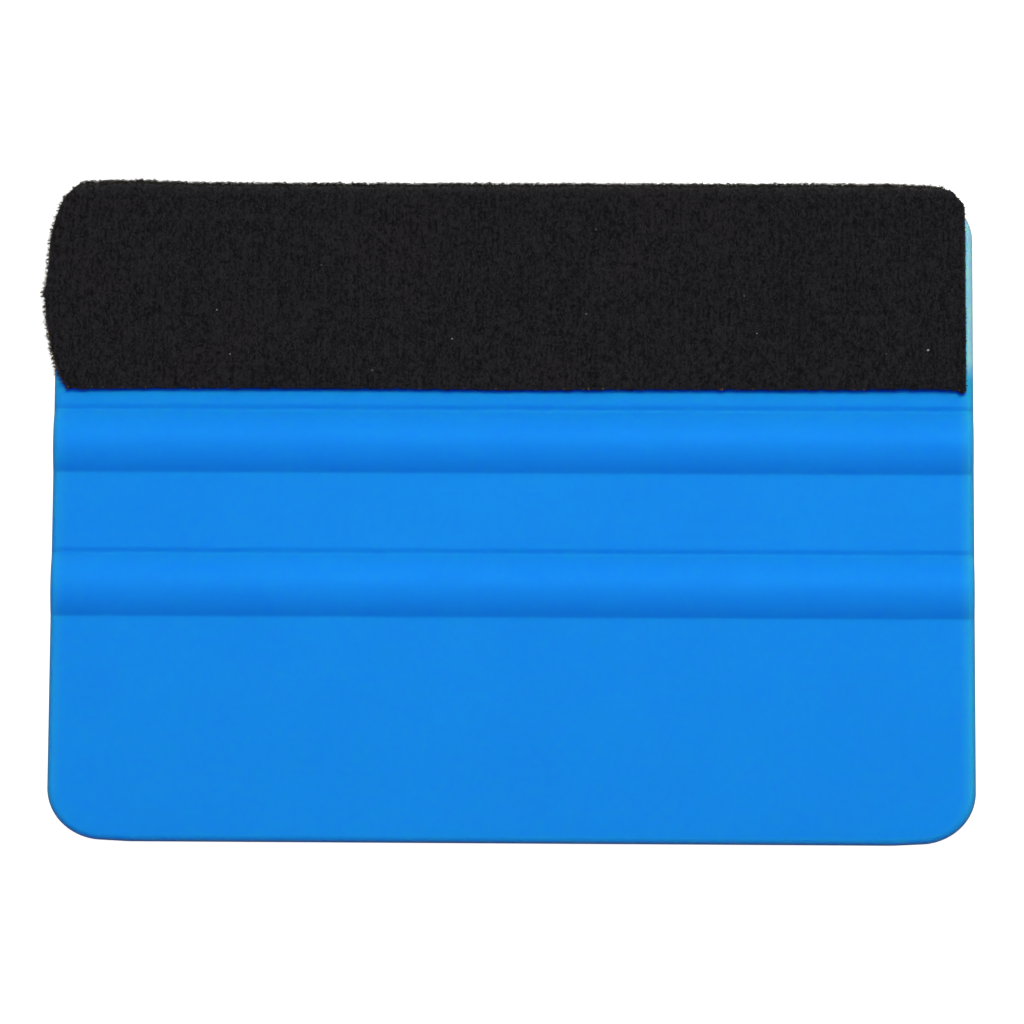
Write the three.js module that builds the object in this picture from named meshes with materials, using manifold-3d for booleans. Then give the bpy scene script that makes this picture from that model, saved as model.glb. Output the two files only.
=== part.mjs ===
// Squeegee applicator: a moulded plastic card with two grip ribs on each face, and a strip of
// felt folded over one long edge and held by an adhesive film. Millimetres, +Z up. The card
// lies flat on its back: X runs along the long edges, +Y points to the felt edge, +Z is the
// front face. The model is built about the middle of the card's plain edge, at mid-thickness,
// and the group then moves it so that the origin is under the centre of the whole tool.

import * as THREE from "three";
import { mergeVertices } from "three/addons/utils/BufferGeometryUtils.js";
import Module from "manifold-3d";

const wasm = await Module();
wasm.setup();

// Card
const CARD_WIDTH = 100;
const CARD_HEIGHT = 70.7;
const LOWER_CORNER_RADIUS = 6;
const UPPER_CORNER_RADIUS = 5;
const EDGE_RADIUS = 0.8; // the long edges are full rounds of this radius
const PANEL_HALF = 1.0; // half the panel's thickness between the ribs
const RIB_WIDTH = 6.6;
const RIB_RISE = 1.2; // crest above the panel
const LOWER_RIB_Y = 27.65;
const UPPER_RIB_Y = 43.3;

// Felt and adhesive, as layers over the card's upper edge
const LAYER_GAP = 0.02; // clearance between touching layers
const ADHESIVE_THICKNESS = 0.1;
const FELT_THICKNESS = 1.0;
const FLAP_EDGE_Y = 49.1; // cut edge of both flaps
const RIGHT_END_X = 49.2; // the right end is cut straight
const RIGHT_CORNER_RADIUS = 2.8; // at the fold, seen from the front
const LEFT_END_X = -51.1; // the left end is trimmed in a shallow arc, and this is its crown
const LEFT_END_Y = 60.2;
const LEFT_END_RADIUS = 27;
const LEFT_CORNER_RADIUS = 2.4;

// Facets
const CORNER_STEPS = 10;
const ROUND_STEPS = 6; // per quarter turn of the edge rounding
const RIB_STEPS = 15; // odd, so that the crest is a flat facet
const END_STEPS = 20; // along each trimmed end of the felt

const ribRadius = ((RIB_WIDTH / 2) ** 2 + RIB_RISE ** 2) / (2 * RIB_RISE);
const ribHalfAngle = Math.asin(RIB_WIDTH / 2 / ribRadius);
const upperNoseY = CARD_HEIGHT - EDGE_RADIUS;

// Offsets of the layers' faces from the card's skin
const adhesiveInner = LAYER_GAP;
const adhesiveOuter = adhesiveInner + ADHESIVE_THICKNESS;
const feltInner = adhesiveOuter + LAYER_GAP;
const feltOuter = feltInner + FELT_THICKNESS;

// Height of a rib's arc above the panel at y, which is 0 beside the rib.
function ribHeight(y, ribY) {
  const across = Math.min(Math.abs(y - ribY), RIB_WIDTH / 2);
  return Math.sqrt(ribRadius ** 2 - across ** 2) - ribRadius + RIB_RISE;
}

// Half the card's thickness at y. The panel tapers from the ribs to both long edges.
function halfThickness(y) {
  const lowerTaper = (y - EDGE_RADIUS) / (LOWER_RIB_Y - RIB_WIDTH / 2 - EDGE_RADIUS);
  const upperTaper = (upperNoseY - y) / (upperNoseY - UPPER_RIB_Y - RIB_WIDTH / 2);
  const share = THREE.MathUtils.clamp(Math.min(lowerTaper, upperTaper), 0, 1);
  const panel = THREE.MathUtils.lerp(EDGE_RADIUS, PANEL_HALF, share);
  return panel + ribHeight(y, LOWER_RIB_Y) + ribHeight(y, UPPER_RIB_Y);
}

// Places of the facet lines across one rib, evenly turned about its axis.
function ribStations(ribY) {
  const stations = [];
  for (let i = 0; i <= RIB_STEPS; i++) {
    const angle = THREE.MathUtils.lerp(-ribHalfAngle, ribHalfAngle, i / RIB_STEPS);
    stations.push(ribY + ribRadius * Math.sin(angle));
  }
  return stations;
}

// The card's right side from the plain edge to the felt edge, moved in by inset.
function rightSide(inset) {
  const points = [];
  const corner = (cornerRadius, centreY, start) => {
    const radius = cornerRadius - inset;
    const centreX = CARD_WIDTH / 2 - cornerRadius;
    for (let i = 0; i <= CORNER_STEPS; i++) {
      const angle = start + (i / CORNER_STEPS) * (Math.PI / 2);
      points.push([centreX + radius * Math.cos(angle), centreY + radius * Math.sin(angle)]);
    }
  };
  corner(LOWER_CORNER_RADIUS, LOWER_CORNER_RADIUS, -Math.PI / 2);
  for (const y of [...ribStations(LOWER_RIB_Y), ...ribStations(UPPER_RIB_Y)]) {
    points.push([CARD_WIDTH / 2 - inset, y]);
  }
  corner(UPPER_CORNER_RADIUS, CARD_HEIGHT - UPPER_CORNER_RADIUS, 0);
  return points;
}

// One closed ring around the card at a turn of the edge rounding. Side is +1 on the front and
// -1 on the back. The right side's points come first, then the left side's, from top to bottom.
function cardRing(turn, side) {
  const right = rightSide(EDGE_RADIUS * (1 - Math.cos(turn)));
  const left = right.map(([x, y]) => [-x, y]).reverse();
  const lift = EDGE_RADIUS * (Math.sin(turn) - 1);
  return [...right, ...left].map(([x, y]) => [x, y, side * (halfThickness(y) + lift)]);
}

function makeCard() {
  const turns = Array.from({ length: ROUND_STEPS + 1 }, (_, i) => (i / ROUND_STEPS) * (Math.PI / 2));
  const backRings = [...turns].reverse().map((turn) => cardRing(turn, -1));
  const frontRings = turns.map((turn) => cardRing(turn, 1));
  const rings = [...backRings, ...frontRings];
  const count = rings[0].length;
  const triangles = [];
  const quad = (a, b, c, d) => triangles.push(a, b, c, a, c, d);
  for (let ring = 0; ring + 1 < rings.length; ring++) {
    for (let i = 0; i < count; i++) {
      const next = (i + 1) % count;
      const low = ring * count;
      const high = low + count;
      quad(low + i, low + next, high + next, high + i);
    }
  }
  // Each face is a stack of strips between the two sides' points at the same height.
  const front = (rings.length - 1) * count;
  for (let i = 0; i + 1 < count / 2; i++) {
    const mirror = count - 1 - i;
    quad(front + i, front + i + 1, front + mirror - 1, front + mirror);
    quad(mirror, mirror - 1, i + 1, i);
  }
  const geometry = new THREE.BufferGeometry();
  geometry.setAttribute("position", new THREE.Float32BufferAttribute(rings.flat(2), 3));
  geometry.setIndex(triangles);
  geometry.computeVertexNormals();
  return geometry;
}

// A U-shaped layer over the card's upper edge, between two offsets from its skin, along X.
function layerAlongX(inner, outer, fromX, toX) {
  const flap = halfThickness(FLAP_EDGE_Y);
  const shape = new THREE.Shape();
  shape.moveTo(FLAP_EDGE_Y, flap + outer);
  shape.lineTo(upperNoseY, EDGE_RADIUS + outer);
  shape.absarc(upperNoseY, 0, EDGE_RADIUS + outer, Math.PI / 2, -Math.PI / 2, true);
  shape.lineTo(FLAP_EDGE_Y, -flap - outer);
  shape.lineTo(FLAP_EDGE_Y, -flap - inner);
  shape.absarc(upperNoseY, 0, EDGE_RADIUS + inner, -Math.PI / 2, Math.PI / 2, false);
  shape.lineTo(FLAP_EDGE_Y, flap + inner);
  const options = { depth: toX - fromX, bevelEnabled: false, curveSegments: 2 * ROUND_STEPS };
  const geometry = new THREE.ExtrudeGeometry(shape, options);
  const x = new THREE.Vector3(1, 0, 0);
  const y = new THREE.Vector3(0, 1, 0);
  const z = new THREE.Vector3(0, 0, 1);
  geometry.applyMatrix4(new THREE.Matrix4().makeBasis(y, z, x));
  geometry.translate(fromX, 0, 0);
  return geometry;
}

// The felt's outline from the front: a straight right end, and a left end that is an arc about
// one centre, so it bulges past the card and comes in again at the fold and at the cut edge.
function feltOutline() {
  const top = CARD_HEIGHT + feltOuter;
  const right = RIGHT_END_X;
  const centreX = LEFT_END_X + LEFT_END_RADIUS;
  const endAngle = (y, radius) => Math.PI - Math.asin((y - LEFT_END_Y) / radius);
  const cornerY = top - LEFT_CORNER_RADIUS;
  const cornerReach = LEFT_END_RADIUS - LEFT_CORNER_RADIUS;
  const foldAngle = endAngle(cornerY, cornerReach);
  const cutAngle = endAngle(FLAP_EDGE_Y, LEFT_END_RADIUS);
  const cornerX = centreX + cornerReach * Math.cos(foldAngle);
  const shape = new THREE.Shape();
  shape.moveTo(right, FLAP_EDGE_Y);
  shape.lineTo(right, top - RIGHT_CORNER_RADIUS);
  shape.absarc(right - RIGHT_CORNER_RADIUS, top - RIGHT_CORNER_RADIUS, RIGHT_CORNER_RADIUS, 0, Math.PI / 2);
  shape.absarc(cornerX, cornerY, LEFT_CORNER_RADIUS, Math.PI / 2, foldAngle);
  shape.absarc(centreX, LEFT_END_Y, LEFT_END_RADIUS, foldAngle, cutAngle);
  return shape;
}

function toManifold(geometry) {
  const bare = geometry.clone();
  bare.deleteAttribute("normal");
  bare.deleteAttribute("uv");
  const merged = mergeVertices(bare);
  const vertProperties = new Float32Array(merged.attributes.position.array);
  const triVerts = new Uint32Array(merged.index.array);
  return new wasm.Manifold(new wasm.Mesh({ numProp: 3, vertProperties, triVerts }));
}

function fromManifold(solid) {
  const mesh = solid.getMesh();
  const geometry = new THREE.BufferGeometry();
  geometry.setAttribute("position", new THREE.BufferAttribute(new Float32Array(mesh.vertProperties), 3));
  geometry.setIndex(new THREE.BufferAttribute(new Uint32Array(mesh.triVerts), 1));
  geometry.computeVertexNormals();
  return geometry;
}

// A U-shaped layer trimmed to the felt's outline.
function trimmedLayer(inner, outer) {
  const reach = 2 * (PANEL_HALF + outer);
  const options = { depth: 2 * reach, bevelEnabled: false, curveSegments: END_STEPS };
  const trim = new THREE.ExtrudeGeometry(feltOutline(), options);
  trim.translate(0, 0, -reach);
  const band = layerAlongX(inner, outer, LEFT_END_X - 1, RIGHT_END_X + 1);
  return fromManifold(toManifold(band).intersect(toManifold(trim)));
}

function piece(name, geometry, color, roughness) {
  const material = new THREE.MeshStandardMaterial({ color, roughness, metalness: 0 });
  const mesh = new THREE.Mesh(geometry, material);
  mesh.name = name;
  return mesh;
}

const tool = new THREE.Group();
tool.add(
  piece("card", makeCard(), 0x1888e6, 0.42),
  piece("adhesive_film", trimmedLayer(adhesiveInner, adhesiveOuter), 0xd8d2c0, 0.35),
  piece("felt_strip", trimmedLayer(feltInner, feltOuter), 0x1d1d1f, 0.95),
);

// Origin under the centre of the whole tool, on the surface that it lies on.
const box = new THREE.Box3().setFromObject(tool);
tool.position.set(-(box.min.x + box.max.x) / 2, -(box.min.y + box.max.y) / 2, -box.min.z);

export default tool;
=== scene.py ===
"""Looks of the squeegee applicator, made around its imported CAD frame.

The moulded card, the adhesive film and the felt strip each replace their CAD solid with a finer mesh
in the same place. Shapes are worked out in millimetres from the middle of the card's plain edge, at
mid-thickness: x runs along the long edges, y points to the felt edge and z out of the front face.
to_frame() turns them into the frame's metres.
"""

import math

import bpy
import numpy as np
from mathutils import Matrix, Vector, noise


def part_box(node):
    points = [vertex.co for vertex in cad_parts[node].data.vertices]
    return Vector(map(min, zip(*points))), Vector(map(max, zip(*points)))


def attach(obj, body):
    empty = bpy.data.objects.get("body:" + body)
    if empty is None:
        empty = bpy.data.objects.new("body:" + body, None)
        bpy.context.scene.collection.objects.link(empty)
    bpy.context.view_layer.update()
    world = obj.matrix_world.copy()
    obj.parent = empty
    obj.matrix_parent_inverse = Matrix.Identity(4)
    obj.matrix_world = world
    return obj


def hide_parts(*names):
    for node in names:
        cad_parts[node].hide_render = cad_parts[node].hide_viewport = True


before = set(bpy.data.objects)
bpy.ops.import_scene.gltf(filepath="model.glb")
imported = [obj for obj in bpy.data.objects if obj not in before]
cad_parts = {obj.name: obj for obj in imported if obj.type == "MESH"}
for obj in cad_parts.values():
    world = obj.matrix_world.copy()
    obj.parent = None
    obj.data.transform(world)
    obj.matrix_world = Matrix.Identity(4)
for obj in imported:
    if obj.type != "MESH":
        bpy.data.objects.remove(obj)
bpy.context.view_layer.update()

MM = 0.001
QUARTER = math.pi / 2

# Card, in millimetres: its box from the frame, and the moulding's own sections
card_low, card_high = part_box("card")
CARD_WIDTH = (card_high.x - card_low.x) / MM
CARD_HEIGHT = (card_high.y - card_low.y) / MM
CARD_ORIGIN = np.array(((card_low.x + card_high.x) / 2, card_low.y, (card_low.z + card_high.z) / 2))
LOWER_CORNER_RADIUS = 5.7
UPPER_CORNER_RADIUS = 5.0
NOSE_RADIUS = 0.8  # half the thickness at both long edges
NOSE_Y = CARD_HEIGHT - NOSE_RADIUS
PANEL_HALF = 1.0
EDGE_RADIUS = 0.76
SIDE_DRAFT = 0.07  # how far the sides lean in for each millimetre of height

# The plain edge lifts a little towards both of its corners
EASE_START_X = 41.0
EASE_SLOPE = 0.05
EASE_REACH = 8.0

# Ribs, each with a fillet at both feet and a fine tool line above it
RIB_WIDTH = 6.6
RIB_RISE = 1.2
RIB_RADIUS = ((RIB_WIDTH / 2) ** 2 + RIB_RISE**2) / (2 * RIB_RISE)
RIB_CENTRES = (27.6, 43.25)
LOWER_FILLET = 0.05
UPPER_FILLET = 0.22
GROOVE_DEPTH = 0.25
GROOVE_PLACE = 3.55  # above the rib's centre
GROOVE_WIDTH = 0.38  # on the side away from the rib
GROOVE_TAIL = 0.9  # on the side of the rib

# Parting line round the sides, and the panel's slight warp, which fades out on the ribs
LAND_HALF = 0.04
FLASH_HEIGHT = 0.025
FLASH_HALF_WIDTH = 0.03
WARP_DEPTH = 0.012
WARP_SCALE = 11.0
WARP_FADE = 4

# The rim's paler painted glow and the outermost edge's darker painted shade: millimetres from the outline,
# and shares
RIM_REACH = 1.0
RIM_FADE = 0.4
EDGE_SHADE_REACH = 0.3
RIM_START_Y = 50.8  # the rim is full beside the felt, from here up
OPEN_RIM = 0.5
PLAIN_RIM = 0.3
LEFT_RIM = 0.5
OPEN_EDGE_SHADE = 0.6

# Felt and adhesive: offsets of their faces from the card's skin
felt_low, felt_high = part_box("felt_strip")
ADHESIVE_INNER, ADHESIVE_OUTER = 0.02, 0.12
ADHESIVE_RETREAT = 0.35
FELT_INNER = 0.14
FELT_OUTER = (felt_high.y - card_high.y) / MM
FELT_TOP = CARD_HEIGHT + FELT_OUTER
FOLD_RADIUS = NOSE_RADIUS + FELT_OUTER
HALF_FOLD = QUARTER * FOLD_RADIUS

# The felt's outline: its cut edge, its straight right end with a nick, and its bulged left end
FLAP_EDGE_Y = (felt_low.y - card_low.y) / MM
FLAP_LENGTH = NOSE_Y - FLAP_EDGE_Y
RIGHT_END_X = felt_high.x / MM - CARD_ORIGIN[0] / MM
LEFT_END_X = felt_low.x / MM - CARD_ORIGIN[0] / MM
RIGHT_CORNER_RADIUS = 3.3
RIGHT_TRIM = 0.12
NOTCH_DEPTH = 0.35
NOTCH_PLACE = 1.75
NOTCH_REACH = 0.45
LEFT_END_RADIUS = 27.0
LEFT_END_Y_FRONT = 60.2
LEFT_END_Y_BACK = 58.8
LEFT_CHAMFER_X = -47.8
LEFT_CHAMFER_SLOPE = 0.84
LEFT_CHAMFER_SOFT = 0.3
LEFT_CUT_TURN = 0.4
LEFT_CUT_REACH = 2.0
END_WOBBLE = 0.05
CUT_WOBBLE = 0.13
CUT_SCALE = 1.1
TAB_DROP = 0.38
TAB_INSET = 0.55
TAB_REACH = 0.4

# Swells of the felt's edges from where they would be: (place, reach, height)
FOLD_SWELLS = ((-42.0, 5.5, 0.30), (46.5, 4.0, -0.20), (0.0, 80.0, -0.19))
CUT_SWELLS = ((-45.0, 5.0, 0.10), (1.0, 9.0, 0.12), (43.0, 4.0, -0.13))
LEFT_SWELLS = ((62.4, 2.2, 0.24), (59.45, 0.35, -0.38))

# The felt's surface: knitted wales, fine pile, broad matting, rounded cuts and pinched overhangs
WALE_PITCH = 0.68
WALE_DEPTH = 0.045
WALE_DRIFT = 0.25
WALE_DRIFT_SCALE = 9.0
WALE_PAIRING = 0.4
PILE_DEPTH = 0.05
PILE_SCALE = 0.9
PILE_SQUEEZE = 2.2
MAT_DEPTH = 0.05
MAT_SCALE = 6.0
FELT_EDGE_ROUND = 0.3
PINCH_DEPTH = 0.42
PINCH_REACH = 2.6

# The lowest that any layer's face reaches, which leaves room for the nap under it
REST_GAP = 0.052
REST_Z = REST_GAP - CARD_ORIGIN[2] / MM

# Loops of nap. FLAP_NAP is for one half of one flap. length, lift and radius are (least, most), lean is
# the spread of their directions, and the higher flat is, the fewer of them stand up.
FLAP_NAP = dict(count=7400, lean=0.5, length=(0.20, 0.58), lift=(0.05, 0.14), radius=(0.022, 0.05), flat=3.0)
FOLD_NAP = dict(count=4600, lean=0.8, length=(0.3, 0.7), lift=(0.05, 0.16), radius=(0.020, 0.044), flat=3.0)
FRINGE = dict(count=7400, lean=1.0, length=(0.35, 1.3), lift=(0.06, 0.50), radius=(0.015, 0.030), flat=1.3)
NAP_SINK = 0.03
NAP_CURL = 0.04
END_MARGIN = 0.1  # how far loops and yarns keep from the strip's ends

# Where each kind of loop grows: distances along the strip from the fold's top line
FLAP_SPAN = (HALF_FOLD - 0.4, HALF_FOLD + FLAP_LENGTH - 0.6)
FOLD_SPAN = (-HALF_FOLD, HALF_FOLD)
FRINGE_SPAN = (-0.7, 1.1)

# Cut yarns and stray hairs round the strip's edge. reach is how far they stand out, (least, most), and
# spread is the spread of their directions.
LEFT_YARNS = dict(pitch=0.52, reach=(0.12, 0.34), spread=0.2)
RIGHT_YARNS = dict(pitch=0.52, reach=(0.0, 0.12), spread=0.2)
FLAP_YARNS = dict(pitch=0.52, reach=(0.0, 0.16), spread=0.2)
LEFT_HAIRS = dict(pitch=0.035, reach=(0.1, 0.65), spread=0.8)
RIGHT_HAIRS = dict(pitch=0.09, reach=(0.05, 0.2), spread=0.8)
FRONT_HAIRS = dict(pitch=0.2, reach=(0.03, 0.18), spread=0.7)
BACK_HAIRS = dict(pitch=0.2, reach=(0.03, 0.25), spread=0.7)
YARN_RADIUS = (0.09, 0.14)
HAIR_RADIUS = (0.013, 0.025)
ROOT_DEPTH = 0.16  # how far inside the edge they start
ROOT_INSET = 0.15  # how far they start from both faces of the strip
FLAP_ROOT_INSET = 0.2  # how far those on a cut edge start from the outer face
ROOT_JITTER = 0.125  # of the pitch
END_SPLAY = 0.35

# Lint on the front flap
LINT_COUNT = 12
LINT_CURL = (0.03, 0.10)
LINT_RADIUS = (0.014, 0.028)
LINT_LEFT_MARGIN = 4
LINT_RIGHT_MARGIN = 2
LINT_FLAP_MARGIN = 1

# Mesh resolution
CORNER_STEPS = 22
ROUND_STEPS = 9
RIB_STATION = 0.11
RIB_MARGIN = 0.6
PANEL_STATION = 1.1
CARD_COLUMNS = 113
FOLD_STEPS = 22
FLAP_STEPS = 42
FELT_PITCH = WALE_PITCH / 4
ADHESIVE_PITCH = 1.4
INNER_SHARE = 4  # columns of a layer's outer face for each column of its inner face
CUT_STATIONS = (0.0, 0.06, 0.16, 0.3, 0.5)  # lines close to the flaps' cut edges
END_COLUMNS = (0.0, 0.05, 0.13, 0.22, 0.3)  # columns close to the strip's ends
NAP_STEPS = 5
YARN_STEPS = 4
HAIR_STEPS = 5
LINT_STEPS = 11

# Colours, linear
BLUE = (0.0080, 0.268, 0.85)
DEEP_BLUE = (0.0070, 0.226, 0.81)
# Painted glow on the thin edge, palest beside the felt, and painted shade on its outermost line
GLOW_CYAN = (0.022, 0.37, 0.78)
SHADE_TEAL = (0.060, 0.25, 0.42)
PALE_GLOW_CYAN = (0.31, 0.64, 0.95)
FELT_BLACK = (0.0128, 0.0122, 0.0163)
FELT_WARM = (0.016, 0.012444, 0.013855)
FELT_DEEP = (0.0015, 0.0015, 0.0021)
FIBRE_SHADES = ((0.0012, 0.0012, 0.0016), (0.0085, 0.0080, 0.0102), (0.029, 0.028, 0.034))
FRINGE_SHADES = ((0.010, 0.0095, 0.0090), (0.024, 0.0225, 0.020), (0.060, 0.056, 0.050))
END_SHADES = ((0.026, 0.016, 0.007), (0.066, 0.041, 0.015), (0.13, 0.083, 0.031))
LINT_SHADES = ((0.12, 0.12, 0.12), (0.30, 0.29, 0.28), (0.55, 0.53, 0.51))
ADHESIVE_STRAW = (0.62, 0.56, 0.44)
ADHESIVE_SHADE = (0.527, 0.476, 0.374)
WHITE = (1.0, 1.0, 1.0, 1.0)
FLOOR_WHITE = (0.30, 0.30, 0.30, 1.0)

# Floor, in metres
FLOOR_REACH = 3.0
FLOOR_Z = -0.00001

# Camera: metres, degrees and millimetres of lens
CAMERA_AIM_Y = -0.00011
CAMERA_DISTANCE = 0.385
CAMERA_TILT = 5.7
CAMERA_SWING = 1.2
CAMERA_ROLL = 0.35
CAMERA_LENS = 124.7
CAMERA_SENSOR = 36
CAMERA_CLIP = 0.01

# Light: a warm key and a cool fill that together are white on the flat card. The key's tilt is from
# the vertical and its azimuth from +Y towards +X, in degrees.
KEY_TILT = 21
KEY_AZIMUTH = 12
KEY_DISTANCE = 0.9
KEY_SIZE = 0.34
KEY_POWER = 8.4
KEY_COLOUR = (1.0, 1.0, 0.75)
FILL_COLOUR = (0.43, 0.43, 1.0)
FILL_STRENGTH = 0.28


# ---------------------------------------------------------------- meshes


def to_frame(points):
    """Millimetres about the card's plain edge to metres in the frame."""
    return np.asarray(points, float).reshape(-1, 3) * MM + CARD_ORIGIN


def add_mesh(name, points, faces, material):
    """A smooth-shaded mesh object of points in millimetres."""
    mesh = bpy.data.meshes.new(name)
    mesh.from_pydata(to_frame(points).tolist(), [], faces)
    mesh.update()
    mesh.shade_smooth()
    mesh.materials.append(material)
    piece = bpy.data.objects.new(name, mesh)
    bpy.context.scene.collection.objects.link(piece)
    return piece


def add_attribute(piece, name, values):
    """A number for each vertex, which a material can read."""
    attribute = piece.data.attributes.new(name, "FLOAT", "POINT")
    attribute.data.foreach_set("value", np.asarray(values, np.float32))


def grid_faces(rows, columns, start=0, flip=False):
    """Quads of a grid whose vertices run along its rows, facing +Z when rows go up and columns right."""
    faces = []
    for row in range(rows - 1):
        for column in range(columns - 1):
            a = start + row * columns + column
            quad = (a, a + 1, a + columns + 1, a + columns)
            faces.append(quad[::-1] if flip else quad)
    return faces


def band_faces(upper, lower):
    """Quads between two closed loops of vertex numbers that run the same way round."""
    count = len(upper)
    return [(upper[i], lower[i], lower[(i + 1) % count], upper[(i + 1) % count]) for i in range(count)]


def cloud(x, y, scale, seed=0.0):
    """Smooth noise from -1 to 1 over the two coordinates, with features about scale apart."""
    flat = [noise.noise(Vector((a / scale, b / scale, seed))) for a, b in zip(np.ravel(x), np.ravel(y))]
    return np.array(flat).reshape(np.shape(x))


def tube_faces(steps, sides):
    """Faces of one closed tube whose vertices run round each step in turn."""
    faces = [tuple(reversed(range(sides))), tuple(range((steps - 1) * sides, steps * sides))]
    for low in range(0, (steps - 1) * sides, sides):
        for side in range(sides):
            turn = (side + 1) % sides
            faces.append((low + side, low + turn, low + sides + turn, low + sides + side))
    return faces


def add_tubes(name, paths, radii, sides, materials, random):
    """Many short closed tubes in one mesh, each of one of the materials.

    paths is (tube, step, xyz) and radii is (tube, step).
    """
    tubes, steps, _ = paths.shape
    along = np.gradient(paths, axis=1)
    along /= np.linalg.norm(along, axis=2, keepdims=True)
    first = np.empty_like(paths)
    normal = np.eye(3)[np.abs(along[:, 0]).argmin(1)]
    for step in range(steps):
        normal = normal - (normal * along[:, step]).sum(1, keepdims=True) * along[:, step]
        normal /= np.linalg.norm(normal, axis=1, keepdims=True)
        first[:, step] = normal
    second = np.cross(along, first)
    angles = np.arange(sides)[:, None] * 2 * math.pi / sides
    around = np.cos(angles) * first[:, :, None] + np.sin(angles) * second[:, :, None]
    points = paths[:, :, None] + radii[:, :, None, None] * around
    pattern = tube_faces(steps, sides)
    starts = range(0, tubes * steps * sides, steps * sides)
    faces = [tuple(start + corner for corner in face) for start in starts for face in pattern]
    piece = add_mesh(name, points, faces, materials[0])
    for material in materials[1:]:
        piece.data.materials.append(material)
    shade = random.integers(len(materials), size=tubes)
    piece.data.polygons.foreach_set("material_index", np.repeat(shade, len(pattern)).astype(np.int32))
    return piece


# ---------------------------------------------------------------- materials


class Shader:
    """A new node material, with short calls to add nodes to it."""

    def __init__(self, name):
        self.material = bpy.data.materials.new(name)
        self.material.use_nodes = True
        self.nodes = self.material.node_tree.nodes
        self.links = self.material.node_tree.links
        self.surface = self.nodes["Principled BSDF"]
        self.place = self.nodes.new("ShaderNodeTexCoord").outputs["Object"]

    def link(self, source, target):
        self.links.new(source, target)

    def stretched(self, scale):
        """The object's coordinates in metres, multiplied along each axis."""
        mapping = self.nodes.new("ShaderNodeMapping")
        mapping.inputs["Scale"].default_value = scale
        self.link(self.place, mapping.inputs["Vector"])
        return mapping.outputs["Vector"]

    def noise(self, scale, detail=2.0, roughness=0.5, stretch=(1, 1, 1)):
        """Noise whose features are about 1 / scale metres, squeezed by stretch along each axis."""
        texture = self.nodes.new("ShaderNodeTexNoise")
        texture.inputs["Scale"].default_value = scale
        texture.inputs["Detail"].default_value = detail
        texture.inputs["Roughness"].default_value = roughness
        self.link(self.stretched(stretch), texture.inputs["Vector"])
        return texture.outputs["Fac"]

    def attribute(self, name):
        reader = self.nodes.new("ShaderNodeAttribute")
        reader.attribute_name = name
        return reader.outputs["Fac"]

    def remap(self, value, low, high, to_low, to_high):
        remap = self.nodes.new("ShaderNodeMapRange")
        for socket, number in zip(("From Min", "From Max", "To Min", "To Max"), (low, high, to_low, to_high)):
            remap.inputs[socket].default_value = number
        self.link(value, remap.inputs["Value"])
        return remap.outputs["Result"]

    def mix(self, share, first, second):
        """A colour between first and second, each a colour or another node's output."""
        mix = self.nodes.new("ShaderNodeMix")
        mix.data_type = "RGBA"
        self.link(share, mix.inputs["Factor"])
        for socket, colour in zip(("A", "B"), (first, second)):
            target = [s for s in mix.inputs if s.name == socket and s.type == "RGBA"][0]
            if isinstance(colour, tuple):
                target.default_value = (*colour, 1.0)
            else:
                self.link(colour, target)
        return [s for s in mix.outputs if s.type == "RGBA"][0]

    def math(self, operation, first, second):
        sums = self.nodes.new("ShaderNodeMath")
        sums.operation = operation
        for socket, value in zip(sums.inputs, (first, second)):
            if isinstance(value, (int, float)):
                socket.default_value = value
            else:
                self.link(value, socket)
        return sums.outputs["Value"]

    def bump(self, height, depth, strength=1.0, under=None):
        """A bump of depth metres, laid over another bump where one is given."""
        bump = self.nodes.new("ShaderNodeBump")
        bump.inputs["Distance"].default_value = depth
        bump.inputs["Strength"].default_value = strength
        self.link(height, bump.inputs["Height"])
        if under is not None:
            self.link(under, bump.inputs["Normal"])
        return bump.outputs["Normal"]

    def set(self, **values):
        """Values of the shader's own sockets, by name with _ for a space."""
        for name, value in values.items():
            self.surface.inputs[name.replace("_", " ")].default_value = value

    def feed(self, **outputs):
        """Node outputs into the shader's own sockets."""
        for name, output in outputs.items():
            self.link(output, self.surface.inputs[name.replace("_", " ")])


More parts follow.
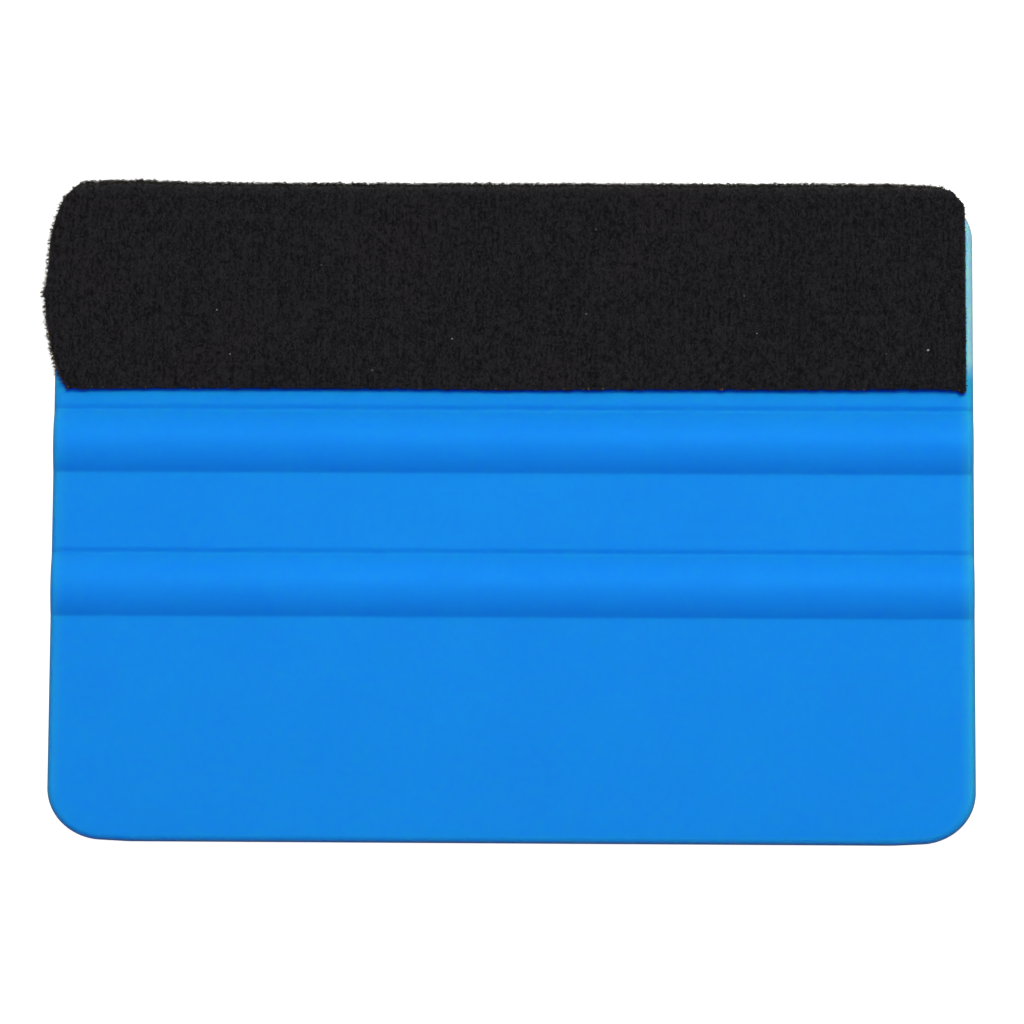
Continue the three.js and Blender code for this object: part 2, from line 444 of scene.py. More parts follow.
def plastic_material():
    """Satin polypropylene: faint mottling, fine grain, hairline scratches, a painted glow on the thin edges
    and painted shade on their outermost line.
    """
    shader = Shader("card_plastic")
    mottle = shader.remap(shader.noise(70, 3.0, 0.6), 0.3, 0.7, 0.0, 1.0)
    specks = shader.remap(shader.noise(2600, 1.0), 0.69, 0.74, 0.0, 0.35)
    body = shader.mix(shader.math("MULTIPLY", mottle, 0.35), BLUE, DEEP_BLUE)
    body = shader.mix(specks, body, DEEP_BLUE)
    # Painted glow where the thin edge gathers light, palest beside the felt, then painted shade on the
    # outermost edge
    rim = shader.attribute("rim")
    body = shader.mix(shader.remap(rim, 0.0, 0.5, 0.0, 1.0), body, GLOW_CYAN)
    body = shader.mix(shader.remap(rim, 0.5, 1.0, 0.0, 1.0), body, PALE_GLOW_CYAN)
    body = shader.mix(shader.attribute("edge_shade"), body, SHADE_TEAL)
    shader.feed(Base_Color=body)
    rough = shader.remap(shader.noise(220, 3.0), 0.3, 0.7, 0.40, 0.50)
    shader.feed(Roughness=rough)
    grain = shader.noise(5200, 2.0)
    ripple = shader.noise(260, 2.0, 0.5, (0.35, 1.0, 1.0))
    scratches = shader.remap(shader.noise(240, 1.0, 0.5, (0.12, 3.2, 1.0)), 0.70, 0.76, 0.0, 1.0)
    surface = shader.bump(ripple, 0.00006, 0.35)
    surface = shader.bump(grain, 0.000008, 0.5, surface)
    surface = shader.bump(scratches, 0.000015, 0.4, surface)
    shader.feed(Normal=surface)
    shader.set(IOR=1.49, Specular_IOR_Level=0.25, Specular_Tint=(0.02, 0.3, 1.0, 1.0))
    shader.set(Subsurface_Weight=0.8, Subsurface_Scale=0.001)
    shader.set(Subsurface_Radius=(0.05, 0.25, 2.8))
    return shader.material


def felt_material():
    """Black knitted felt: upright streaks along the wales, a fine matted grain and painted shade that darkens
    the wales' valleys a little.
    """
    shader = Shader("felt")
    blend = shader.math("MULTIPLY", shader.noise(3100, 2.0, 0.6, (1.0, 0.5, 1.0)), 0.45)
    blend = shader.math("ADD", blend, shader.math("MULTIPLY", shader.noise(4500, 2.0, 0.6), 0.50))
    blend = shader.math("ADD", blend, shader.math("MULTIPLY", shader.noise(900, 3.0, 0.6), 0.22))
    streaks = shader.noise(2900, 1.0, 0.5, (1.0, 0.1, 0.1))
    streaks_and_shade = shader.math("ADD", blend, shader.math("MULTIPLY", streaks, 0.16))
    # The wales' valleys a little darker: painted shade
    streaks_and_shade = shader.math("ADD", streaks_and_shade, shader.math("MULTIPLY", shader.attribute("wale"), 0.012))
    share = shader.remap(streaks_and_shade, 0.57, 0.76, 0.0, 1.0)
    cast = shader.remap(shader.noise(90, 2.0), 0.35, 0.7, 0.0, 0.5)
    black = shader.mix(share, FELT_DEEP, FELT_BLACK)
    shader.feed(Base_Color=shader.mix(shader.math("MULTIPLY", cast, share), black, FELT_WARM))
    shader.feed(Normal=shader.bump(blend, 0.00014, 0.9))
    shader.set(Roughness=0.95, Specular_IOR_Level=0.12, Sheen_Weight=0.18, Sheen_Roughness=0.5)
    shader.set(Sheen_Tint=(0.8, 0.8, 0.85, 1.0))
    return shader.material


def fibre_materials(name, shades):
    """One material for each shade of loose fibre."""
    materials = []
    for number, shade in enumerate(shades, 1):
        shader = Shader(f"{name}_{number}")
        shader.set(Base_Color=(*shade, 1.0), Roughness=0.85, Specular_IOR_Level=0.15)
        materials.append(shader.material)
    return materials


def adhesive_material():
    """Pressure-sensitive film: slightly cloudy and tacky."""
    shader = Shader("adhesive")
    cloudy = shader.noise(400, 3.0)
    shader.feed(Base_Color=shader.mix(cloudy, ADHESIVE_SHADE, ADHESIVE_STRAW))
    shader.feed(Normal=shader.bump(shader.noise(1500, 2.0), 0.00002, 0.5))
    shader.set(Roughness=0.35)
    return shader.material


# ---------------------------------------------------------------- card


def panel_half(y):
    """Half the panel's thickness at y, without the ribs: it tapers to both long edges."""
    lower = (y - NOSE_RADIUS) / (RIB_CENTRES[0] - RIB_WIDTH / 2 - NOSE_RADIUS)
    upper = (NOSE_Y - y) / (NOSE_Y - RIB_CENTRES[1] - RIB_WIDTH / 2)
    share = np.clip(np.minimum(lower, upper), 0, 1)
    return NOSE_RADIUS + (PANEL_HALF - NOSE_RADIUS) * share


def rib_height(y):
    """Height of both ribs over the panel: filleted arcs, with a fine tool line above each of them.

    The fillet widens from the crest to the upper foot, and the line has a soft tail towards the rib.
    """
    height = np.zeros_like(y)
    for centre in RIB_CENTRES:
        across = y - centre
        arc = np.sqrt(np.maximum(RIB_RADIUS**2 - across**2, 0)) - RIB_RADIUS + RIB_RISE
        fillet = np.interp(across, (0, RIB_WIDTH / 2), (LOWER_FILLET, UPPER_FILLET))
        rise = (arc + np.sqrt(arc**2 + fillet**2)) / 2
        reach = np.where(across > GROOVE_PLACE, GROOVE_WIDTH, GROOVE_TAIL)
        groove = GROOVE_DEPTH * np.exp(-(((across - GROOVE_PLACE) / reach) ** 2))
        height += np.where(np.abs(across) < RIB_WIDTH, rise - groove, 0)
    return height


def corner_points(radius, inset):
    """The card's lower right corner from the plain edge up, of this radius before it moves in by inset."""
    angles = np.linspace(0, QUARTER, CORNER_STEPS + 1)
    reach = radius - inset
    return np.stack([CARD_WIDTH / 2 - radius + reach * np.sin(angles), radius - reach * np.cos(angles)], 1)


def side_points(inset):
    """The card's right side from the plain edge up, moved in by inset."""
    low = corner_points(LOWER_CORNER_RADIUS, inset)
    high = corner_points(UPPER_CORNER_RADIUS, inset)[::-1] * (1, -1) + (0, CARD_HEIGHT)
    first_rib = RIB_CENTRES[0] - RIB_WIDTH / 2 - RIB_MARGIN
    last_rib = RIB_CENTRES[1] + GROOVE_PLACE + 3 * GROOVE_WIDTH
    stops = (LOWER_CORNER_RADIUS, first_rib, last_rib, CARD_HEIGHT - UPPER_CORNER_RADIUS)
    spacings = (PANEL_STATION, RIB_STATION, PANEL_STATION)
    between = []
    for start, stop, spacing in zip(stops, stops[1:], spacings):
        between.append(np.linspace(start, stop, round((stop - start) / spacing) + 1)[1:])
    heights = np.concatenate(between)[:-1]
    straight = np.stack([np.full_like(heights, CARD_WIDTH / 2 - inset), heights], 1)
    return np.concatenate([low, straight, high])


def outline_points(inset):
    """The card's whole outline moved in by inset, anticlockwise from the plain edge's right corner."""
    right = side_points(inset)
    share = np.linspace(-1, 1, CARD_COLUMNS)[1:-1]
    top_x = share[::-1] * (CARD_WIDTH / 2 - UPPER_CORNER_RADIUS)
    low_x = share * (CARD_WIDTH / 2 - LOWER_CORNER_RADIUS)
    top = np.stack([top_x, np.full_like(top_x, CARD_HEIGHT - inset)], 1)
    low = np.stack([low_x, np.full_like(low_x, inset)], 1)
    left = right[::-1] * (-1, 1)
    return np.concatenate([right, top, left, low])


def eased(flat):
    """Flat points with the plain edge lifted a little towards both of its corners."""
    past = np.maximum(np.abs(flat[:, 0]) - EASE_START_X, 0)
    lift = EASE_SLOPE * past * np.clip(1 - flat[:, 1] / EASE_REACH, 0, 1) ** 2
    return flat + np.column_stack([np.zeros_like(lift), lift])


def card_skin(flat, turn, side):
    """Points in space for flat points at a turn of the edge rounding, on the front or the back."""
    x, y = eased(flat).T
    ribs = rib_height(y)
    flatness = np.clip(1 - WARP_FADE * ribs / RIB_RISE, 0, 1)
    warp = WARP_DEPTH * cloud(x, y, WARP_SCALE, seed=3.0 + side) * flatness
    top = panel_half(y) + ribs + warp * math.sin(turn)
    height = top - np.minimum(EDGE_RADIUS, top - LAND_HALF) * (1 - math.sin(turn))
    drafted = x * (1 - SIDE_DRAFT * height / (CARD_WIDTH / 2))
    return np.stack([drafted, y, side * height], 1)


def rim_glow_share(flat, inset):
    """How pale the thin edge looks, because it gathers light: least on the plain edge, most by the felt."""
    near = np.clip((RIM_REACH - inset) / RIM_FADE, 0, 1)
    plain = np.clip(flat[:, 1] / LOWER_CORNER_RADIUS, PLAIN_RIM, 1)
    beside_felt = np.clip(flat[:, 1] - RIM_START_Y, 0, 1)
    one_side = np.where(flat[:, 0] < 0, LEFT_RIM + (1 - LEFT_RIM) * beside_felt, 1)
    return near * plain * one_side * (OPEN_RIM + (1 - OPEN_RIM) * beside_felt)


def edge_shade_share(flat, inset):
    """How much painted shade the outermost edge gets: most on the plain edge, and none beside the felt."""
    near = np.clip(1 - inset / EDGE_SHADE_REACH, 0, 1)
    heights = (LOWER_CORNER_RADIUS / 2, 2 * LOWER_CORNER_RADIUS, RIM_START_Y - 1, RIM_START_Y)
    return near * np.interp(flat[:, 1], heights, (1, OPEN_EDGE_SHADE, OPEN_EDGE_SHADE, 0))


def edge_ring(turn, side):
    """One ring of the edge rounding, on the front or the back, with its shares of painted glow and painted
    shade.
    """
    inset = EDGE_RADIUS * (1 - math.cos(turn))
    flat = outline_points(inset)
    return card_skin(flat, turn, side), rim_glow_share(flat, inset), edge_shade_share(flat, inset)


def parting_ring(height):
    """One ring of the parting line, which stands out at mid-thickness, with its shares of painted glow and
    painted shade.
    """
    flat = outline_points(-FLASH_HEIGHT if height == 0 else 0)
    points = np.column_stack([eased(flat), np.full(len(flat), height)])
    return points, rim_glow_share(flat, 0), edge_shade_share(flat, 0)


def make_card(material):
    """The moulded card: two gridded faces, rounded edges all round and a fine parting line."""
    right = side_points(EDGE_RADIUS)
    rows, columns = len(right), CARD_COLUMNS
    share = np.linspace(-1, 1, columns)
    face = np.stack([right[:, :1] * share, np.repeat(right[:, 1:], columns, 1)], 2).reshape(-1, 2)
    number = np.arange(rows * columns).reshape(rows, columns)
    rim = np.concatenate([number[:, -1], number[-1, -2:0:-1], number[::-1, 0], number[0, 1:-1]])

    turns = np.linspace(QUARTER, 0, ROUND_STEPS + 1)[1:]
    edge = [edge_ring(turn, 1) for turn in turns]
    edge += [parting_ring(height) for height in (FLASH_HALF_WIDTH, 0, -FLASH_HALF_WIDTH)]
    edge += [edge_ring(turn, -1) for turn in turns[::-1]]
    rings, rim_glows, edge_shades = zip(*edge)

    front = card_skin(face, QUARTER, 1)
    back = card_skin(face, QUARTER, -1)
    faces = grid_faces(rows, columns) + grid_faces(rows, columns, rows * columns, flip=True)
    loops = [rim]
    for ring in range(len(rings)):
        loops.append(2 * rows * columns + ring * len(rim) + np.arange(len(rim)))
    loops.append(rim + rows * columns)
    for upper, lower in zip(loops, loops[1:]):
        faces += band_faces(upper.tolist(), lower.tolist())
    piece = add_mesh("card_moulding", np.concatenate([front, back, *rings]), faces, material)
    # Painted glow on the faces' outline as well; the painted shade is only on the edge rings
    on_face = np.zeros(rows * columns)
    on_face[rim] = rim_glow_share(outline_points(EDGE_RADIUS), EDGE_RADIUS)
    add_attribute(piece, "rim", np.concatenate([on_face, on_face, *rim_glows]))
    add_attribute(piece, "edge_shade", np.concatenate([0 * on_face, 0 * on_face, *edge_shades]))
    return piece


# ---------------------------------------------------------------- felt and adhesive


def layer_points(turn, run, x, offset):
    """Points of a layer wrapped over the card's upper edge.

    turn is the angle round the fold, a quarter turn on the front and minus that on the back. run is how
    far the point is down its flap, and offset how far it is off the card's skin. Past the card's sides
    the two flaps draw together, and nothing reaches below what the tool lies on.
    """
    y = NOSE_Y + (NOSE_RADIUS + offset) * np.cos(turn) - run
    z = (NOSE_RADIUS + offset) * np.sin(turn) + np.sign(turn) * (panel_half(NOSE_Y - run) - NOSE_RADIUS)
    past_side = np.maximum(np.abs(x) - (CARD_WIDTH / 2 - UPPER_CORNER_RADIUS), 0)
    past_top = np.maximum(y - (CARD_HEIGHT - UPPER_CORNER_RADIUS), 0)
    overhang = np.clip((np.hypot(past_side, past_top) - UPPER_CORNER_RADIUS) / PINCH_REACH, 0, 1)
    pinch = PINCH_DEPTH * overhang**2 * (3 - 2 * overhang)
    return np.stack([x, y, np.maximum(z - pinch * np.sin(turn), REST_Z)], -1)


def swell(place, swells):
    """Sum of the smooth swells at each place."""
    return sum(height * np.exp(-(((place - middle) / reach) ** 2)) for middle, reach, height in swells)


def end_x(turn, run):
    """Left and right end of the felt at each place down the strip."""
    y = NOSE_Y + FOLD_RADIUS * np.cos(turn) - run
    front_share = (1 + np.sin(turn)) / 2
    centre_y = LEFT_END_Y_BACK + (LEFT_END_Y_FRONT - LEFT_END_Y_BACK) * front_share
    centre_x = LEFT_END_X + LEFT_END_RADIUS
    left = centre_x - np.sqrt(LEFT_END_RADIUS**2 - (y - centre_y) ** 2)
    chamfer = LEFT_CHAMFER_X - LEFT_CHAMFER_SLOPE * (FELT_TOP - y)
    left = (left + chamfer + np.sqrt((left - chamfer) ** 2 + LEFT_CHAMFER_SOFT**2)) / 2
    left = left + LEFT_CUT_TURN * np.clip(1 - (FLAP_LENGTH - run) / LEFT_CUT_REACH, 0, 1) ** 2
    past = np.maximum(y - (FELT_TOP - RIGHT_CORNER_RADIUS), 0)
    drop = RIGHT_CORNER_RADIUS - np.sqrt(np.maximum(RIGHT_CORNER_RADIUS**2 - past**2, 0))
    notch = NOTCH_DEPTH * np.exp(-(((past - NOTCH_PLACE) / NOTCH_REACH) ** 2))
    around = turn * FOLD_RADIUS + np.sign(turn) * run
    left = left + END_WOBBLE * cloud(around, 0 * around, 0.8, 21.0) + front_share * swell(y, LEFT_SWELLS)
    right = RIGHT_END_X - RIGHT_TRIM - drop - notch + END_WOBBLE * cloud(around, 0 * around, 1.0, 23.0)
    return left, right


def strip_stations():
    """Turn and share of the flap's length for each line along the strip, from front edge to back edge."""
    near_edge = 1 - np.array(CUT_STATIONS) / FLAP_LENGTH
    down = np.concatenate([near_edge, np.linspace(near_edge[-1], 0, FLAP_STEPS + 1)[1:]])
    fold = np.linspace(QUARTER, -QUARTER, FOLD_STEPS + 1)[1:]
    turn = np.concatenate([np.full(len(down), QUARTER), fold, np.full(len(down) - 1, -QUARTER)])
    share = np.concatenate([down, np.zeros(len(fold)), down[-2::-1]])
    return turn, share


def column_shares(pitch):
    """Shares of the strip's width for its columns, closer together at both cut ends."""
    width = RIGHT_END_X - LEFT_END_X
    close = np.array(END_COLUMNS) / width
    steps = round(width / pitch / INNER_SHARE) * INNER_SHARE - 2 * (len(close) - 1)
    middle = np.linspace(close[-1], 1 - close[-1], steps + 1)
    return np.concatenate([close[:-1], middle, 1 - close[-2::-1]])


def cut_line(x, front):
    """How far the cut edge of the front or back flap strays from straight, with a tab on the front."""
    row = np.zeros_like(x)
    seed = 1.0 if front else 7.0
    tab = TAB_DROP * np.exp(-(((x - RIGHT_END_X + TAB_INSET) / TAB_REACH) ** 2)) if front else 0
    return CUT_WOBBLE * cloud(x, row, CUT_SCALE, seed) + swell(x, CUT_SWELLS) + tab


def strip_field(turn, share, width_share, retreat):
    """Turn, run and x of each point of the strip's grid, one row for each station.

    retreat is how far the layer stops short of the felt's outline.
    """
    turn_grid, across = np.meshgrid(turn, width_share, indexing="ij")
    share_grid = np.repeat(share[:, None], len(width_share), 1)
    run = share_grid * (FLAP_LENGTH - retreat)
    left, right = end_x(turn_grid, run)
    left, right = left + retreat, right - retreat
    x = left + across * (right - left)
    stray = np.where(turn_grid > 0, cut_line(x[0], True), cut_line(x[-1], False))
    return turn_grid, run + share_grid**6 * stray, x, left, right


def wale_wave(x, around):
    """Height of the knitted wales, which are uneven in pairs and drift a little from straight."""
    drift = WALE_DRIFT * cloud(x, around, WALE_DRIFT_SCALE, 5.0)
    phase = 2 * math.pi * (x + drift) / WALE_PITCH
    return np.cos(phase) + WALE_PAIRING * np.cos(phase / 2)


def felt_relief(turn, run, x, left, right):
    """How far the felt's outer face stands off its plain offset: wales, matted pile and rounded cuts."""
    around = turn * FOLD_RADIUS + np.sign(turn) * run
    wales = WALE_DEPTH * wale_wave(x, around)
    pile = PILE_DEPTH * cloud(x * PILE_SQUEEZE, around, PILE_SCALE, 9.0)
    pile = pile + MAT_DEPTH * cloud(x, around, MAT_SCALE, 11.0)
    to_cut = np.minimum(np.minimum(x - left, right - x), FLAP_LENGTH - run)
    inside = np.clip(1 - to_cut / FELT_EDGE_ROUND, 0, 1)
    rounding = FELT_EDGE_ROUND * (1 - np.sqrt(1 - inside**2))
    return (wales + pile) * (1 - inside) + swell(x, FOLD_SWELLS) * np.cos(turn) - rounding


def layer_faces(rows, columns, inner_columns):
    """Faces of a closed layer: its outer grid, its coarser inner grid and the four edges between them."""
    start = rows * columns
    faces = grid_faces(rows, columns, flip=True) + grid_faces(rows, inner_columns, start)
    for row in range(rows - 1):
        a, b = row * columns, start + row * inner_columns
        faces.append((a, a + columns, b + inner_columns, b))
        a, b = a + columns - 1, b + inner_columns - 1
        faces.append((b, b + inner_columns, a + columns, a))
    for column in range(inner_columns - 1):
        first, b = column * INNER_SHARE, start + column
        faces.append((b, b + 1, *range(first + INNER_SHARE, first - 1, -1)))
        first, b = first + (rows - 1) * columns, b + (rows - 1) * inner_columns
        faces.append((*range(first, first + INNER_SHARE + 1), b + 1, b))
    return faces


def make_layer(name, inner, outer, pitch, material, retreat=0.0, relief=False):
    """A closed U-shaped layer between two offsets, with the felt's relief on its outer face or none.

    With the relief, the height of the wales is also stored as an attribute, from which the material paints
    shade in their valleys.
    """
    turn, share = strip_stations()
    width_share = column_shares(pitch)
    turn_grid, run, x, left, right = strip_field(turn, share, width_share, retreat)
    raised = felt_relief(turn_grid, run, x, left, right) if relief else 0
    outside = layer_points(turn_grid, run, x, outer + raised)
    inside = layer_points(turn_grid, run, x, np.full_like(x, inner))[:, ::INNER_SHARE]
    points = np.concatenate([outside.reshape(-1, 3), inside.reshape(-1, 3)])
    piece = add_mesh(name, points, layer_faces(*x.shape, inside.shape[1]), material)
    if relief:
        wave = wale_wave(x, turn_grid * FOLD_RADIUS + np.sign(turn_grid) * run)
        add_attribute(piece, "wale", np.concatenate([wave.ravel(), np.zeros(inside[..., 0].size)]))
    return piece


# ---------------------------------------------------------------- nap, cut ends and lint


def strip_place(along):
    """Turn and run of places along the strip, measured over its outer face from the fold's top line."""
    turn = np.clip(along / FOLD_RADIUS, -QUARTER, QUARTER)
    return turn, np.maximum(np.abs(along) - HALF_FOLD, 0)


def strip_paths(along, x, offset):
    """Points in space for places along and across the strip and off the card's skin."""
    turn, run = strip_place(along)
    return layer_points(turn, run, x, offset)


def thickness(random, count, steps, least, most):
    """Radii of fibres that thin out towards both ends."""
    shape = np.interp(np.linspace(0, 1, steps), (0, 0.2, 0.8, 1), (0.6, 1, 1, 0.35))
    return random.uniform(least, most, (count, 1)) * shape


def make_nap(name, seed, span, across, materials, count, lean, length, lift, radius, flat):
    """Loops brushed over the felt, within span along the strip and across as shares of its width."""
    random = np.random.default_rng(seed)
    direction = random.normal(0, lean, (count, 1))
    reach = random.uniform(*length, (count, 1))
    middle = random.uniform(*span, (count, 1))
    turn, run = strip_place(middle)
    left, right = end_x(turn, run)
    margin = END_MARGIN + np.abs(reach * np.sin(direction)) / 2
    x = left + margin + random.uniform(*across, (count, 1)) * (right - left - 2 * margin)
    root = FELT_OUTER - NAP_SINK + felt_relief(turn, run, x, left, right)
    rise = lift[0] + (lift[1] - lift[0]) * random.random((count, 1)) ** flat
    t = np.linspace(0, 1, NAP_STEPS)
    curl = random.normal(0, NAP_CURL, (count, 1)) * np.sin(2 * math.pi * t)
    path_along = middle + reach * np.cos(direction) * (t - 0.5)
    path_x = x + reach * np.sin(direction) * (t - 0.5) + curl
    paths = strip_paths(path_along, path_x, root + rise * np.sin(math.pi * t))
    return add_tubes(name, paths, thickness(random, count, NAP_STEPS, *radius), 3, materials, random)


def side_ends(random, side, steps, pitch, reach, spread):
    """Paths of the ends that stand out of the strip's left side, -1, or its right side, 1."""
    half = HALF_FOLD + FLAP_LENGTH
    count = round(2 * half / pitch)
    along = np.linspace(-half, half, count)[:, None] + random.normal(0, pitch * ROOT_JITTER, (count, 1))
    along = np.clip(along, -half, half)
    turn, run = strip_place(along)
    end = end_x(turn, run)[(side + 1) // 2]
    offset = random.uniform(FELT_INNER + ROOT_INSET, FELT_OUTER - ROOT_INSET, (count, 1))
    t = np.linspace(0, 1, steps)
    angle = random.normal(0, spread, (count, 1))
    length = random.uniform(*reach, (count, 1)) + ROOT_DEPTH
    path_x = end + side * (length * np.cos(angle) * t - ROOT_DEPTH)
    path_along = along + length * np.sin(angle) * t
    path_offset = offset + random.normal(0, END_SPLAY, (count, 1)) * length * t**2
    return strip_paths(path_along, path_x, path_offset)


def flap_ends(random, side, steps, pitch, reach, spread):
    """Paths of the ends that stand out of the cut edge of the front flap, 1, or the back flap, -1."""
    left, right = end_x(np.array(side * QUARTER), np.array(FLAP_LENGTH))
    count = round((right - left) / pitch)
    x = np.linspace(left + END_MARGIN, right - END_MARGIN, count)[:, None]
    x = x + random.normal(0, pitch * ROOT_JITTER, (count, 1))
    offset = random.uniform(FELT_INNER + ROOT_INSET, FELT_OUTER - FLAP_ROOT_INSET, (count, 1))
    t = np.linspace(0, 1, steps)
    angle = random.normal(0, spread, (count, 1))
    length = random.uniform(*reach, (count, 1)) + ROOT_DEPTH
    edge = HALF_FOLD + FLAP_LENGTH + cut_line(x, side > 0)
    path_along = side * (edge + length * np.cos(angle) * t - ROOT_DEPTH)
    path_x = x + length * np.sin(angle) * t
    return strip_paths(path_along, path_x, np.broadcast_to(offset, path_x.shape))


def make_yarn_ends(materials):
    """Blunt cut yarns all round the strip's edge: ragged on the left, and short elsewhere."""
    random = np.random.default_rng(31)
    paths = []
    for _ in range(2):
        paths.append(side_ends(random, -1, YARN_STEPS, **LEFT_YARNS))
        paths.append(side_ends(random, 1, YARN_STEPS, **RIGHT_YARNS))
        paths.append(flap_ends(random, 1, YARN_STEPS, **FLAP_YARNS))
        paths.append(flap_ends(random, -1, YARN_STEPS, **FLAP_YARNS))
    paths = np.concatenate(paths)
    radii = random.uniform(*YARN_RADIUS, (len(paths), 1)) * np.linspace(1, 0.45, YARN_STEPS)
    return add_tubes("felt_yarn_ends", paths, radii, 5, materials, random)


def make_edge_fuzz(materials):
    """Fine hairs that stray out of the cut edges, most of them on the left side."""
    random = np.random.default_rng(37)
    paths = [
        side_ends(random, -1, HAIR_STEPS, **LEFT_HAIRS),
        side_ends(random, 1, HAIR_STEPS, **RIGHT_HAIRS),
        flap_ends(random, 1, HAIR_STEPS, **FRONT_HAIRS),
        flap_ends(random, -1, HAIR_STEPS, **BACK_HAIRS),
    ]
    paths = np.concatenate(paths)
    radii = thickness(random, len(paths), HAIR_STEPS, *HAIR_RADIUS)
    return add_tubes("felt_edge_fuzz", paths, radii, 3, materials, random)


def make_lint(materials):
    """Curled pale threads caught on the front of the felt."""
    random = np.random.default_rng(41)
    nearest = HALF_FOLD + LINT_FLAP_MARGIN
    farthest = HALF_FOLD + FLAP_LENGTH - LINT_FLAP_MARGIN
    along = random.uniform(nearest, farthest, (LINT_COUNT, 1))
    x = random.uniform(LEFT_END_X + LINT_LEFT_MARGIN, RIGHT_END_X - LINT_RIGHT_MARGIN, (LINT_COUNT, 1))
    size = random.uniform(*LINT_CURL, (LINT_COUNT, 1))
    t = np.linspace(0, 1, LINT_STEPS)
    angle = random.uniform(0, 2 * math.pi, (LINT_COUNT, 1)) + 3 * math.pi * t
    offset = FELT_OUTER + 0.06 + 0.08 * t + 0 * angle
    paths = strip_paths(along + size * np.cos(angle), x + size * np.sin(angle) + 0.1 * t, offset)
    radii = thickness(random, LINT_COUNT, LINT_STEPS, *LINT_RADIUS)
    return add_tubes("felt_lint", paths, radii, 5, materials, random)


def make_loose_fibres():
    """Every mesh of fibre on the felt: nap by half flaps, the fold's nap and fringe, ends and lint."""
    fibres = fibre_materials("felt_fibre", FIBRE_SHADES)
    end_fibres = fibre_materials("felt_end_fibre", END_SHADES)
    fringe_fibres = fibre_materials("felt_fringe_fibre", FRINGE_SHADES)
    # The fold's nap leaves out the darkest fibre colour and takes a lighter one: a painted highlight where
    # the fold curves into the light
    fold_highlight_fibres = [fringe_fibres[0], *fibres[1:]]
    back_span = (-FLAP_SPAN[1], -FLAP_SPAN[0])
    pieces = []
    for face, span in (("front", FLAP_SPAN), ("back", back_span)):
        for half, across in (("left", (0, 0.5)), ("right", (0.5, 1))):
            seed = 11 + len(pieces)
            pieces.append(make_nap(f"felt_nap_{face}_{half}", seed, span, across, fibres, **FLAP_NAP))
    pieces.append(make_nap("felt_nap_fold", 15, FOLD_SPAN, (0, 1), fold_highlight_fibres, **FOLD_NAP))
    pieces.append(make_nap("felt_fringe", 16, FRINGE_SPAN, (0, 1), fringe_fibres, **FRINGE))
    pieces.append(make_yarn_ends(end_fibres))
    pieces.append(make_edge_fuzz(end_fibres))
    pieces.append(make_lint(fibre_materials("lint_fibre", LINT_SHADES)))
    return pieces


# ---------------------------------------------------------------- stage, light and camera


def make_floor():
    """A plain white sweep, bright enough to read as the paper that the tool lies on."""
    mesh = bpy.data.meshes.new("floor")
    signs = ((-1, -1), (1, -1), (1, 1), (-1, 1))
    mesh.from_pydata([(x * FLOOR_REACH, y * FLOOR_REACH, FLOOR_Z) for x, y in signs], [], [(0, 1, 2, 3)])
    shader = Shader("floor")
    shader.set(Base_Color=FLOOR_WHITE, Roughness=1.0, Specular_IOR_Level=0.0, Emission_Color=WHITE)
    shader.feed(Emission_Strength=shader.nodes.new("ShaderNodeLightPath").outputs["Is Camera Ray"])
    mesh.materials.append(shader.material)
    floor = bpy.data.objects.new("floor", mesh)
    bpy.context.scene.collection.objects.link(floor)


def add_key_light():
    """A square soft light that faces the tool."""
    light = bpy.data.lights.new("key_light", "AREA")
    light.shape = "SQUARE"
    light.size = KEY_SIZE
    light.energy = KEY_POWER
    light.color = KEY_COLOUR
    lamp = bpy.data.objects.new("key_light", light)
    tilt = math.radians(KEY_TILT)
    azimuth = math.radians(KEY_AZIMUTH)
    way = Vector((math.sin(tilt) * math.sin(azimuth), math.sin(tilt) * math.cos(azimuth), math.cos(tilt)))
    lamp.location = way * KEY_DISTANCE
    lamp.rotation_euler = way.to_track_quat("Z", "Y").to_euler()
    bpy.context.scene.collection.objects.link(lamp)


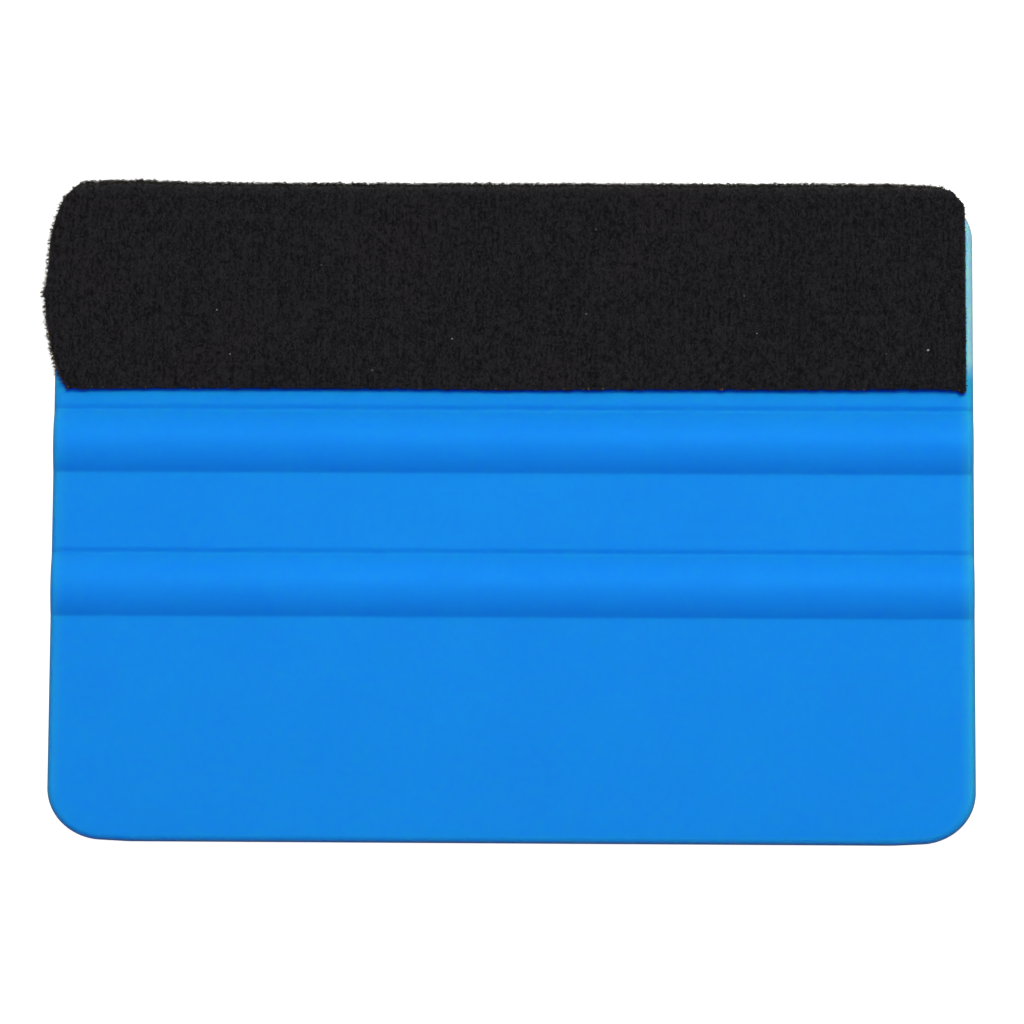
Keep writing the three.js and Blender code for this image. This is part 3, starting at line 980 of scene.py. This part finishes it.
def light_stage():
    """A weak even fill, a backdrop that the camera sees as white, and the key light."""
    world = bpy.data.worlds.new("studio")
    world.use_nodes = True
    nodes, links = world.node_tree.nodes, world.node_tree.links
    fill = nodes["Background"]
    fill.inputs["Color"].default_value = (*FILL_COLOUR, 1)
    fill.inputs["Strength"].default_value = FILL_STRENGTH
    backdrop = nodes.new("ShaderNodeBackground")
    backdrop.inputs["Color"].default_value = WHITE
    choose = nodes.new("ShaderNodeMixShader")
    links.new(nodes.new("ShaderNodeLightPath").outputs["Is Camera Ray"], choose.inputs["Fac"])
    links.new(fill.outputs["Background"], choose.inputs[1])
    links.new(backdrop.outputs["Background"], choose.inputs[2])
    links.new(choose.outputs["Shader"], nodes["World Output"].inputs["Surface"])
    bpy.context.scene.world = world
    bpy.context.scene.view_settings.view_transform = "Standard"
    add_key_light()


def add_camera():
    """Nearly overhead, leaning a little towards the plain edge and to the right."""
    camera = bpy.data.cameras.new("camera")
    camera.lens = CAMERA_LENS
    camera.sensor_width = CAMERA_SENSOR
    camera.clip_start = CAMERA_CLIP
    view = bpy.data.objects.new("camera", camera)
    turn = Matrix.Rotation(math.radians(CAMERA_ROLL), 4, "Z")
    turn @= Matrix.Rotation(math.radians(CAMERA_SWING), 4, "Y")
    turn @= Matrix.Rotation(math.radians(CAMERA_TILT), 4, "X")
    aim = Matrix.Translation((CARD_ORIGIN[0], CAMERA_AIM_Y, CARD_ORIGIN[2]))
    view.matrix_world = aim @ turn @ Matrix.Translation((0, 0, CAMERA_DISTANCE))
    bpy.context.scene.collection.objects.link(view)
    bpy.context.scene.camera = view


# ---------------------------------------------------------------- the tool

plastic = plastic_material()
felt = felt_material()
card = make_card(plastic)
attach(card, "root")
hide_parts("card")

film = adhesive_material()
adhesive = make_layer(
    "adhesive_layer", ADHESIVE_INNER, ADHESIVE_OUTER, ADHESIVE_PITCH, film, retreat=ADHESIVE_RETREAT
)
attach(adhesive, "root")
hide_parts("adhesive_film")

strip = make_layer("felt_cloth", FELT_INNER, FELT_OUTER, FELT_PITCH, felt, relief=True)
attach(strip, "root")
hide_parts("felt_strip")

on_felt = make_loose_fibres()
for piece in on_felt:
    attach(piece, "root")

make_floor()
light_stage()
add_camera()
